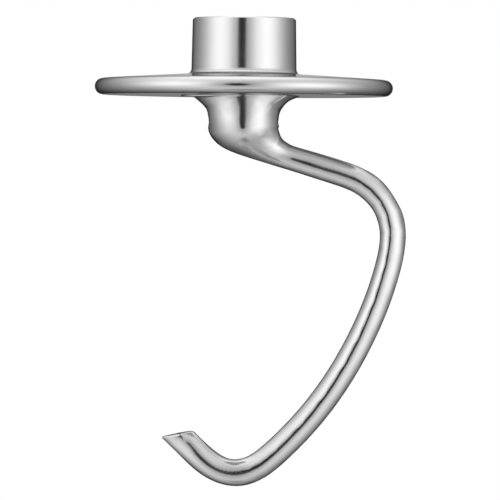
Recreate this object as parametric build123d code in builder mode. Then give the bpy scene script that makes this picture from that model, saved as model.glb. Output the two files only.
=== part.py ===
from build123d import *
import os
from math import cos, radians, sin, tan

os.makedirs("parts", exist_ok=True)

# Dough hook of a stand mixer, one metal casting.
# The origin is the centre of the drive bore's mouth, on the hub's top face. +Z is up along the
# bore, +X is the side that the hook's belly stands out to, and -Y is the side seen from the front.

# Mixer's shaft, which the hub fits: a half inch round shaft with a cross pin.
shaft_diameter = 12.7
shaft_clearance = 0.15
pin_diameter = 4.76
pin_clearance = 0.22

# Hub: a slightly tapered boss that slides up over the shaft.
hub_top_diameter = 27.8
hub_foot_diameter = 28.3
hub_height = 15.0
hub_edge_chamfer = 0.4
hub_foot_width = 1.45
hub_foot_rise = 1.4

# Drive bore: blind, with a drilled point.
bore_depth = 28.0
bore_mouth_chamfer = 0.4
bore_point_angle = 118.0

# Bayonet slot: the pin enters at the back of the hub, turns round to the seat and rises into a
# shallow notch, where the hook hangs on it. The depth and the seat are those of the pin's centre.
pin_slot_depth = 10.0
pin_turn = 36.0
pin_seat_rise = 2.0
pin_entry_azimuth = 90.0

# Shield: the round plate that keeps dough off the shaft. Its top falls to the rim like a low cone,
# its underside is flat and its rim is one full round, which both run into smoothly.
shield_diameter = 80.2
shield_rim_radius = 2.2
shield_slope = 3.45
shield_top_level = -hub_height

# Neck: round, with a flare to the left and the right where it leaves the shield, but none to the
# front and the back. It turns into the hook's arm through a tapering elbow. Its core is turned in
# one piece with the shield.
neck_diameter = 18.8
neck_flare_width = 7.4
neck_flare_height = 6.6
neck_straight = 0.9
flare_sections = 5
neck_core_diameter = 16.0

# Elbow: each cross-section lies in a plane through one pivot line beside the neck.
arm_slope = 16.4
arm_diameter = 6.6
elbow_pivot_gap = 6.5
elbow_arm_gap = 6.35
heel_sharpness = 7.2
crook_sharpness = 3.8
elbow_sections = 8

# Rod: bends down from the arm, runs back under the hub and turns up to the tip. It thickens on
# the way, more at first, by this power of the share of its length.
# The reach and the drop are those of its centre line, from the bore's axis and the hub's top.
hook_reach = 40.5
hook_drop = 122.95
rod_growth_power = 0.5
tip_diameter = 7.4
tip_heading_angle = 135.8
rod_sections = 22

# Crest: the ridge of the rod's cross-section leans to the inside of the bend by this much. The
# lean starts and is full at these shares of the rod's length, and fades out towards the tip.
crest_lean = 0.95
lean_start = 0.17
lean_full = 0.30

# Tip: flattened front and back, and cut off nearly level, rising a little towards the bore's axis.
tip_depth_ratio = 0.62
tip_flat_length = 15.0
tip_cut_rise = 11.3
tip_trim_length = 5.0
tip_edge_chamfer = 0.35

hub_top_radius = hub_top_diameter / 2
hub_foot_radius = hub_foot_diameter / 2
shield_radius = shield_diameter / 2
neck_radius = neck_diameter / 2
arm_radius = arm_diameter / 2
tip_radius = tip_diameter / 2
elbow_turn = 90.0 - arm_slope
bore_radius = shaft_diameter / 2 + shaft_clearance
pin_slot_width = pin_diameter + 2 * pin_clearance

# The rim's round touches both the shield's sloping top and its flat underside.
rim_centre_x = shield_radius - shield_rim_radius
rim_fall = (rim_centre_x - hub_foot_radius - hub_foot_width) * tan(radians(shield_slope))
rim_centre_z = shield_top_level - rim_fall - shield_rim_radius / cos(radians(shield_slope))
shield_underside = rim_centre_z - shield_rim_radius
neck_end = shield_underside - neck_flare_height
bore_point_depth = bore_radius / tan(radians(bore_point_angle / 2))


def radial_plane(azimuth):
    """Plane that faces outwards from the bore's axis, with its own y axis up."""
    outwards = (cos(radians(azimuth)), sin(radians(azimuth)), 0)
    return Plane(origin=(0, 0, 0), x_dir=(-outwards[1], outwards[0], 0), z_dir=outwards)


def axial_plane(azimuth):
    """Plane that holds the bore's axis, with its own x axis outwards and its y axis up."""
    outwards = (cos(radians(azimuth)), sin(radians(azimuth)), 0)
    return Plane(origin=(0, 0, 0), x_dir=outwards, z_dir=(outwards[1], -outwards[0], 0))


pin_seat_azimuth = pin_entry_azimuth - pin_turn
entry_plane = radial_plane(pin_entry_azimuth)
seat_plane = radial_plane(pin_seat_azimuth)
seat_section_plane = axial_plane(pin_seat_azimuth)


def corner_distance(turn, start, finish, sharpness):
    """Distance from the elbow's pivot to a rounded corner, on a ray turned down from the level.

    The corner blends the straight side of the neck, at the start distance, into the straight
    side of the arm, at the finish distance, and meets both of them exactly at the elbow's ends.
    """
    overlap = cos(radians(elbow_turn)) ** sharpness
    near = start**-sharpness
    far = finish**-sharpness
    neck_share = (near - overlap * far) / (1 - overlap**2)
    arm_share = (far - overlap * near) / (1 - overlap**2)
    neck_side = neck_share * cos(radians(turn)) ** sharpness
    arm_side = arm_share * cos(radians(elbow_turn - turn)) ** sharpness
    return (neck_side + arm_side) ** (-1 / sharpness)


pivot_x = neck_radius + elbow_pivot_gap
pivot_z = neck_end - neck_straight

# Each section is a plane, a half width, a half depth and the lean of its crest.
sections = []
for index in range(flare_sections + 1):
    flare_angle = radians(90 * (1 - index / flare_sections))
    flare_plane = Plane(
        origin=(0, 0, neck_end + neck_flare_height * sin(flare_angle)),
        x_dir=(-1, 0, 0),
        z_dir=(0, 0, -1),
    )
    flare_half_width = neck_radius + neck_flare_width * (1 - cos(flare_angle))
    sections.append((flare_plane, flare_half_width, neck_radius, 0))
for index in range(elbow_sections + 1):
    turn = elbow_turn * index / elbow_sections
    heel = corner_distance(turn, elbow_pivot_gap + neck_diameter, elbow_arm_gap + arm_diameter, heel_sharpness)
    crook = corner_distance(turn, elbow_pivot_gap, elbow_arm_gap, crook_sharpness)
    middle = (heel + crook) / 2
    ray_x = -cos(radians(turn))
    ray_z = -sin(radians(turn))
    elbow_x = pivot_x + middle * ray_x
    elbow_z = pivot_z + middle * ray_z
    section_plane = Plane(
        origin=(elbow_x, 0, elbow_z),
        x_dir=(ray_x, 0, ray_z),
        z_dir=(-ray_z, 0, ray_x),
    )
    half_width = (heel - crook) / 2
    sections.append((section_plane, half_width, half_width, 0))

arm_heading = (cos(radians(arm_slope)), -sin(radians(arm_slope)))
tip_heading = (cos(radians(tip_heading_angle)), sin(radians(tip_heading_angle)))
belly_width = hook_reach - elbow_x
belly_height = hook_drop + elbow_z


def belly_point(across, down):
    """Point of the rod's centre line, in parts of the belly's width and height from the elbow."""
    return (elbow_x + across * belly_width, elbow_z - down * belly_height)


with BuildLine(Plane.XZ) as rod_path:
    Spline(
        belly_point(0, 0),
        belly_point(0.456, 0.0435),
        belly_point(0.693, 0.074),
        belly_point(0.883, 0.128),
        belly_point(0.996, 0.212),
        belly_point(0.960, 0.3395),
        belly_point(0.7115, 0.5595),
        belly_point(0.255, 0.798),
        belly_point(-0.143, 0.935),
        belly_point(-0.381, 0.989),
        belly_point(-0.6325, 0.996),
        belly_point(-0.881, 0.949),
        belly_point(-1.114, 0.877),
        tangents=[arm_heading, tip_heading],
    )

rod_wire = rod_path.wire()
tip_centre = rod_wire @ 1
tip_direction = rod_wire % 1


def rod_section(middle, heading, share):
    """Section of the rod at a share of its length."""
    plane = Plane(origin=middle, x_dir=(heading.Z, 0, -heading.X), z_dir=heading)
    half_width = arm_radius + (tip_radius - arm_radius) * share**rod_growth_power
    flat_share = max(0.0, 1 - rod_wire.length * (1 - share) / tip_flat_length)
    half_depth = half_width * (1 - (1 - tip_depth_ratio) * min(1.0, flat_share) ** 2)
    lean_share = min(1.0, max(0.0, (share - lean_start) / (lean_full - lean_start)))
    lean_fade = min(1.0, (1 - share) / (1 - lean_full)) ** 2
    lean = crest_lean * lean_share**2 * (3 - 2 * lean_share) * lean_fade
    return (plane, half_width, half_depth, lean)


for index in range(1, rod_sections + 1):
    share = index / rod_sections
    sections.append(rod_section(rod_wire @ share, rod_wire % share, share))
for trim in (tip_trim_length / 2, tip_trim_length):
    sections.append(rod_section(tip_centre + tip_direction * trim, tip_direction, 1))

tip_plane = Plane(
    origin=tip_centre,
    x_dir=(cos(radians(tip_cut_rise)), 0, sin(radians(tip_cut_rise))),
    z_dir=(-sin(radians(tip_cut_rise)), 0, cos(radians(tip_cut_rise))),
)

with BuildPart() as hook_rod:
    for section_plane, half_width, half_depth, lean in sections:
        inner = half_width - lean
        outer = half_width + lean
        with BuildSketch(section_plane):
            with BuildLine():
                EllipticalCenterArc((lean, 0), inner, half_depth, start_angle=0, arc_size=90)
                EllipticalCenterArc((lean, 0), outer, half_depth, start_angle=90, arc_size=90)
                EllipticalCenterArc((lean, 0), outer, half_depth, start_angle=180, arc_size=90)
                EllipticalCenterArc((lean, 0), inner, half_depth, start_angle=270, arc_size=90)
            make_face()
    loft()

    # Tip: cut off and its edge broken.
    with BuildSketch(tip_plane):
        Rectangle(3 * tip_diameter, 3 * tip_diameter)
    extrude(amount=tip_diameter, mode=Mode.SUBTRACT)
    tip_face = faces().sort_by_distance(tip_centre)[0]
    chamfer(tip_face.edges(), tip_edge_chamfer)

hub_foot_centre = (hub_foot_radius + hub_foot_width, shield_top_level + hub_foot_rise)
rim_top_x = rim_centre_x + shield_rim_radius * sin(radians(shield_slope))
rim_top_z = rim_centre_z + shield_rim_radius * cos(radians(shield_slope))

with BuildPart() as dough_hook:
    # Hub, shield and the neck's core, turned about the bore's axis.
    with BuildSketch(Plane.XZ):
        with BuildLine():
            Polyline(
                (0, neck_end),
                (0, 0),
                (hub_top_radius - hub_edge_chamfer, 0),
                (hub_top_radius, -hub_edge_chamfer),
                (hub_foot_radius, shield_top_level + hub_foot_rise),
            )
            EllipticalCenterArc(hub_foot_centre, hub_foot_width, hub_foot_rise, start_angle=180, arc_size=90)
            Line((hub_foot_radius + hub_foot_width, shield_top_level), (rim_top_x, rim_top_z))
            CenterArc(
                (rim_centre_x, rim_centre_z),
                shield_rim_radius,
                start_angle=90 - shield_slope,
                arc_size=shield_slope - 180,
            )
            Polyline(
                (rim_centre_x, shield_underside),
                (neck_core_diameter / 2, shield_underside),
                (neck_core_diameter / 2, neck_end),
                (0, neck_end),
            )
        make_face()
    revolve(axis=Axis.Z)

    # Neck, elbow and rod, one skin over all their cross-sections.
    add(hook_rod.part)

    # Drive bore, with the cone left by the drill and a small chamfer at its mouth.
    with BuildSketch(Plane.XZ) as bore_profile:
        with BuildLine():
            Polyline(
                (0, 0),
                (bore_radius + bore_mouth_chamfer, 0),
                (bore_radius, -bore_mouth_chamfer),
                (bore_radius, -bore_depth),
                (0, -bore_depth - bore_point_depth),
                close=True,
            )
        make_face()
    revolve(axis=Axis.Z, mode=Mode.SUBTRACT)

    # Bayonet slot: the entry, the turn and the notch that the pin rests in.
    with BuildSketch(entry_plane):
        with Locations((0, -pin_slot_depth)):
            Circle(pin_slot_width / 2)
        with Locations((0, -pin_slot_depth / 2)):
            Rectangle(pin_slot_width, pin_slot_depth)
    extrude(amount=hub_foot_radius + 1, mode=Mode.SUBTRACT)
    with BuildSketch(seat_section_plane):
        with Locations((hub_foot_radius / 2 + 0.5, -pin_slot_depth)):
            Rectangle(hub_foot_radius + 1, pin_slot_width)
    revolve(axis=Axis.Z, revolution_arc=pin_turn, mode=Mode.SUBTRACT)
    with BuildSketch(seat_plane):
        with Locations((0, -pin_slot_depth + pin_seat_rise / 2)):
            SlotCenterToCenter(pin_seat_rise, pin_slot_width, rotation=90)
    extrude(amount=hub_foot_radius + 1, mode=Mode.SUBTRACT)

dough_hook.part.label = "dough_hook"
export_step(dough_hook.part, "parts/dough_hook.step")
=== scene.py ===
import math

import bpy
from mathutils import Matrix, Vector

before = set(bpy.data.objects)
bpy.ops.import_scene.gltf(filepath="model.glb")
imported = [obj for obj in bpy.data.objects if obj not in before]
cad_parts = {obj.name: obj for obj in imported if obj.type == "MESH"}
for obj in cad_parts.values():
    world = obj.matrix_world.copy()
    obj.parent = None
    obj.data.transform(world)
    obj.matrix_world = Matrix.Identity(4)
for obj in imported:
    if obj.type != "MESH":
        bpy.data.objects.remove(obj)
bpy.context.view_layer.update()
scene = bpy.context.scene
scene.view_settings.view_transform = "Standard"
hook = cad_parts["dough_hook"]


def mm(*values):
    """Point given in millimetres, in metres."""
    return Vector(values) / 1000


# Steel: a soft polish over a fine grain.
finest_polish = 0.14
coarsest_polish = 0.18
darkest_tone = (0.86, 0.86, 0.86, 1)
lightest_tone = (0.92, 0.92, 0.92, 1)
clouds_per_metre = 90.0
grains_per_metre = 2600.0
grain_height = 0.0001


def steel_material():
    """Polished steel, cloudy in gloss and tone."""
    material = bpy.data.materials.new("polished_steel")
    material.use_nodes = True
    nodes = material.node_tree.nodes
    links = material.node_tree.links
    nodes.clear()
    output = nodes.new("ShaderNodeOutputMaterial")
    shader = nodes.new("ShaderNodeBsdfPrincipled")
    links.new(shader.outputs["BSDF"], output.inputs["Surface"])
    shader.inputs["Metallic"].default_value = 1.0
    # Seen at a low angle, the steel mirrors less.
    shader.inputs["Specular Tint"].default_value = (0.3, 0.3, 0.3, 1)

    place = nodes.new("ShaderNodeTexCoord")

    # Slow, cloudy changes in the polish and the tone.
    cloud = nodes.new("ShaderNodeTexNoise")
    cloud.inputs["Scale"].default_value = clouds_per_metre
    cloud.inputs["Detail"].default_value = 5.0
    cloud.inputs["Roughness"].default_value = 0.6
    links.new(place.outputs["Object"], cloud.inputs["Vector"])
    roughness = nodes.new("ShaderNodeMapRange")
    roughness.inputs["From Min"].default_value = 0.3
    roughness.inputs["From Max"].default_value = 0.7
    roughness.inputs["To Min"].default_value = finest_polish
    roughness.inputs["To Max"].default_value = coarsest_polish
    links.new(cloud.outputs["Fac"], roughness.inputs["Value"])
    links.new(roughness.outputs["Result"], shader.inputs["Roughness"])
    tone = nodes.new("ShaderNodeMix")
    tone.data_type = "RGBA"
    tone.inputs["A"].default_value = darkest_tone
    tone.inputs["B"].default_value = lightest_tone
    links.new(cloud.outputs["Fac"], tone.inputs["Factor"])
    links.new(tone.outputs["Result"], shader.inputs["Base Color"])

    # Fine grain left by the polishing.
    grain = nodes.new("ShaderNodeTexNoise")
    grain.inputs["Scale"].default_value = grains_per_metre
    grain.inputs["Detail"].default_value = 3.0
    links.new(place.outputs["Object"], grain.inputs["Vector"])
    bump = nodes.new("ShaderNodeBump")
    bump.inputs["Strength"].default_value = 0.05
    bump.inputs["Distance"].default_value = grain_height
    links.new(grain.outputs["Fac"], bump.inputs["Height"])
    links.new(bump.outputs["Normal"], shader.inputs["Normal"])
    return material


hook.data.materials.clear()
hook.data.materials.append(steel_material())


# Shading: above the shield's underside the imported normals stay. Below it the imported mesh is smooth
# only within each CAD face, so its seams are joined, edges sharper than the crisp angle stay crisp,
# each face is split into three and the normals of neighbouring points are evened out. Heights are
# in metres from the hub's top.
shield_underside = -0.02076
seam_gap = 0.000002
crisp_angle = math.radians(40)
evening_steps = 10
evening_start = -0.025
evening_full = -0.036


def smooth_group():
    """Geometry nodes that shade the neck, elbow and rod as one smooth skin."""
    group = bpy.data.node_groups.new("smooth_skin", "GeometryNodeTree")
    group.interface.new_socket("Geometry", in_out="INPUT", socket_type="NodeSocketGeometry")
    group.interface.new_socket("Geometry", in_out="OUTPUT", socket_type="NodeSocketGeometry")
    nodes = group.nodes
    links = group.links
    start = nodes.new("NodeGroupInput")
    end = nodes.new("NodeGroupOutput")
    normal = nodes.new("GeometryNodeInputNormal")
    place = nodes.new("GeometryNodeInputPosition")
    height = nodes.new("ShaderNodeSeparateXYZ")
    links.new(place.outputs["Position"], height.inputs["Vector"])

    below = nodes.new("FunctionNodeCompare")
    below.data_type = "FLOAT"
    below.operation = "LESS_THAN"
    below.inputs["B"].default_value = shield_underside
    links.new(height.outputs["Z"], below.inputs["A"])
    parts = nodes.new("GeometryNodeSeparateGeometry")
    parts.domain = "FACE"
    links.new(start.outputs[0], parts.inputs["Geometry"])
    links.new(below.outputs["Result"], parts.inputs["Selection"])

    # Above the underside the normals stay as they were packed.
    upper = nodes.new("GeometryNodeSetMeshNormal")
    upper.mode = "FREE"
    upper.domain = "CORNER"
    links.new(parts.outputs["Inverted"], upper.inputs["Mesh"])
    links.new(normal.outputs["Normal"], upper.inputs["Custom Normal"])

    # Below it, join the seams and keep the corners.
    merge = nodes.new("GeometryNodeMergeByDistance")
    merge.inputs["Distance"].default_value = seam_gap
    plain = nodes.new("GeometryNodeRemoveAttribute")
    plain.inputs["Name"].default_value = "custom_normal"
    smooth = nodes.new("GeometryNodeSetShadeSmooth")
    edge = nodes.new("GeometryNodeInputMeshEdgeAngle")
    sharp = nodes.new("FunctionNodeCompare")
    sharp.data_type = "FLOAT"
    sharp.operation = "GREATER_THAN"
    sharp.inputs["B"].default_value = crisp_angle
    split = nodes.new("GeometryNodeSplitEdges")
    links.new(parts.outputs["Selection"], merge.inputs["Geometry"])
    links.new(merge.outputs["Geometry"], plain.inputs["Geometry"])
    links.new(plain.outputs["Geometry"], smooth.inputs["Geometry"])
    links.new(smooth.outputs["Geometry"], split.inputs["Mesh"])
    links.new(edge.outputs["Unsigned Angle"], sharp.inputs["A"])
    links.new(sharp.outputs["Result"], split.inputs["Selection"])

    # Split the faces and even out the normals, more and more from the neck down.
    keep = nodes.new("GeometryNodeCaptureAttribute")
    keep.capture_items.new("VECTOR", "Normal")
    finer = nodes.new("GeometryNodeSubdivideMesh")
    finer.inputs["Level"].default_value = 1
    depth = nodes.new("ShaderNodeMapRange")
    depth.inputs["From Min"].default_value = evening_start
    depth.inputs["From Max"].default_value = evening_full
    even = nodes.new("GeometryNodeBlurAttribute")
    even.data_type = "FLOAT_VECTOR"
    even.inputs["Iterations"].default_value = evening_steps
    lower = nodes.new("GeometryNodeSetMeshNormal")
    lower.mode = "FREE"
    lower.domain = "CORNER"
    links.new(split.outputs["Mesh"], keep.inputs["Geometry"])
    links.new(normal.outputs["Normal"], keep.inputs["Normal"])
    links.new(keep.outputs["Geometry"], finer.inputs["Mesh"])
    links.new(finer.outputs["Mesh"], lower.inputs["Mesh"])
    links.new(height.outputs["Z"], depth.inputs["Value"])
    links.new(depth.outputs["Result"], even.inputs["Weight"])
    links.new(keep.outputs["Normal"], even.inputs["Value"])
    links.new(even.outputs["Value"], lower.inputs["Custom Normal"])

    join = nodes.new("GeometryNodeJoinGeometry")
    links.new(lower.outputs["Mesh"], join.inputs["Geometry"])
    links.new(upper.outputs["Mesh"], join.inputs["Geometry"])
    links.new(join.outputs["Geometry"], end.inputs[0])
    return group


skin = hook.modifiers.new("smooth_skin", "NODES")
skin.node_group = smooth_group()


# Camera: level with the neck, about 0.65 m in front, rolled by half a degree.
camera_place = mm(2.18, -648, -31.6)
camera_aim = mm(2.045, 0, -62.365)
camera_roll = math.radians(0.5)
camera_data = bpy.data.cameras.new("camera")
camera_data.sensor_width = 36.0
camera_data.lens = 172.8
camera = bpy.data.objects.new("camera", camera_data)
scene.collection.objects.link(camera)
forward = (camera_aim - camera_place).normalized()
level_right = forward.cross(Vector((0, 0, 1))).normalized()
level_up = level_right.cross(forward)
right = math.cos(camera_roll) * level_right + math.sin(camera_roll) * level_up
up = math.cos(camera_roll) * level_up - math.sin(camera_roll) * level_right
turn = Matrix((right, up, -forward)).transposed().to_4x4()
camera.matrix_world = Matrix.Translation(camera_place) @ turn
scene.camera = camera


# World: the studio that the steel mirrors, made of soft lights. Each light is an azimuth, counted
# from the camera to the right, a height and a spread, all three in degrees, and a strength.
lights = [
    (52, 0, 28, 0.92),
    (-55, 10, 27, 0.81),
    (18, 103, 33, 0.95),
    (-24, -50, 34, 0.38),
]
room_level = 0.15
# Dark spots in the same room: an azimuth and a height, how far the spot is fully dark, how far it
# reaches, its depth and how many times taller it is than wide. The first two are the photographer
# and the dimmer surroundings, mirrored in the middle of the hub and along the rod. The others are
# the floor in front of the hook, the floor behind it and the unlit wall behind it.
dark_spots = [
    (-4.5, -1, 8, 10.5, 0.98, 1.9),
    (-4.5, -3, 8, 34, 0.34, 2),
    (0, -72, 3, 16, 0.5, 1),
    (180, -35, 20, 58, 0.3, 1),
    (180, 0, 12, 33, 0.8, 1),
]
# Two pale spots, written in the same way: the white backdrop, mirrored by the shield's sloping top,
# and the backdrop's shaded foot, mirrored by the shield's flat underside.
backdrop = (180, 13, 7, 11, 1.0, 1)
backdrop_foot = (180, -4, 4, 7, 0.42, 1)
full_white = (1, 1, 1, 1)

world = bpy.data.worlds.new("studio")
scene.world = world
world.use_nodes = True
world_nodes = world.node_tree.nodes
world_links = world.node_tree.links
world_nodes.clear()
direction = world_nodes.new("ShaderNodeTexCoord")


def step(operation, *values):
    """Math node on values or on other nodes' outputs."""
    node = world_nodes.new("ShaderNodeMath")
    node.operation = operation
    for place, value in enumerate(values):
        if isinstance(value, (int, float)):
            node.inputs[place].default_value = value
        else:
            world_links.new(value, node.inputs[place])
    return node.outputs[0]


def along(azimuth, height):
    """How far the mirrored direction points along another one: the cosine of their angle."""
    azimuth = math.radians(azimuth)
    height = math.radians(height)
    share = world_nodes.new("ShaderNodeVectorMath")
    share.operation = "DOT_PRODUCT"
    share.inputs[1].default_value = (
        math.sin(azimuth) * math.cos(height),
        -math.cos(azimuth) * math.cos(height),
        math.sin(height),
    )
    world_links.new(direction.outputs["Generated"], share.inputs[0])
    return share.outputs["Value"]


def soft_light(azimuth, height, spread, strength):
    """Round light in the room, brightest in its middle and fading out evenly."""
    off_axis = step("SUBTRACT", along(azimuth, height), 1.0)
    fall = step("MULTIPLY", off_axis, 1 / math.radians(spread) ** 2)
    return step("MULTIPLY", step("EXPONENT", fall), strength)


def spot(azimuth, height, full, reach, depth, tallness):
    """Spot with an even middle and a soft edge, round or taller than wide."""
    forwards = along(azimuth, height)
    sideways = along(azimuth + 90, 0)
    upwards = step("DIVIDE", along(azimuth, height + 90), tallness)
    across = step("SQRT", step("ADD", step("POWER", sideways, 2), step("POWER", upwards, 2)))
    edge = world_nodes.new("ShaderNodeMapRange")
    edge.interpolation_type = "SMOOTHSTEP"
    edge.inputs["From Min"].default_value = math.radians(reach)
    edge.inputs["From Max"].default_value = math.radians(full)
    edge.inputs["To Min"].default_value = 0.0
    edge.inputs["To Max"].default_value = depth
    world_links.new(step("ARCTAN2", across, forwards), edge.inputs["Value"])
    return edge.outputs["Result"]


level = room_level
for light in lights:
    level = step("ADD", soft_light(*light), level)
for dark_spot in dark_spots:
    level = step("MULTIPLY", level, step("SUBTRACT", 1.0, spot(*dark_spot)))
level = step("MAXIMUM", level, spot(*backdrop_foot))

# The camera sees white all round. The steel sees the room, with the white backdrop behind the hook.
ray = world_nodes.new("ShaderNodeLightPath")
mirrored = step("MAXIMUM", ray.outputs["Is Glossy Ray"], ray.outputs["Is Transmission Ray"])
mirrored_white = step("MULTIPLY", mirrored, spot(*backdrop))
white_share = step("MAXIMUM", ray.outputs["Is Camera Ray"], mirrored_white)
white = world_nodes.new("ShaderNodeBackground")
white.inputs["Color"].default_value = full_white
white.inputs["Strength"].default_value = 1.0
room = world_nodes.new("ShaderNodeBackground")
room.inputs["Color"].default_value = full_white
world_links.new(level, room.inputs["Strength"])
switch = world_nodes.new("ShaderNodeMixShader")
world_links.new(white_share, switch.inputs["Fac"])
world_links.new(room.outputs["Background"], switch.inputs[1])
world_links.new(white.outputs["Background"], switch.inputs[2])
world_output = world_nodes.new("ShaderNodeOutputWorld")
world_links.new(switch.outputs["Shader"], world_output.inputs["Surface"])


# Floor: a plain pale disc below the hook, under the lower edge of the camera's view. The steel
# mirrors the room's own lower half in its place.
floor_level = -0.36
floor_radius = 0.30
floor_corners = 64
floor_glow = 0.4


def floor_outline():
    """The corners of the floor's disc."""
    turns = [2 * math.pi * corner / floor_corners for corner in range(floor_corners)]
    return [(floor_radius * math.cos(turn), floor_radius * math.sin(turn), floor_level) for turn in turns]


def floor_paint():
    """Pale matt paint, with white added for the camera alone."""
    material = bpy.data.materials.new("floor")
    material.use_nodes = True
    nodes = material.node_tree.nodes
    links = material.node_tree.links
    shader = nodes["Principled BSDF"]
    shader.inputs["Base Color"].default_value = (0.8, 0.8, 0.8, 1)
    shader.inputs["Roughness"].default_value = 0.9
    shader.inputs["Emission Color"].default_value = full_white
    seen = nodes.new("ShaderNodeLightPath")
    glow = nodes.new("ShaderNodeMath")
    glow.operation = "MULTIPLY"
    glow.inputs[1].default_value = floor_glow
    links.new(seen.outputs["Is Camera Ray"], glow.inputs[0])
    links.new(glow.outputs["Value"], shader.inputs["Emission Strength"])
    return material


floor_data = bpy.data.meshes.new("floor")
floor_data.from_pydata(floor_outline(), [], [tuple(range(floor_corners))])
floor_data.materials.append(floor_paint())
floor = bpy.data.objects.new("floor", floor_data)
scene.collection.objects.link(floor)
floor.visible_glossy = False
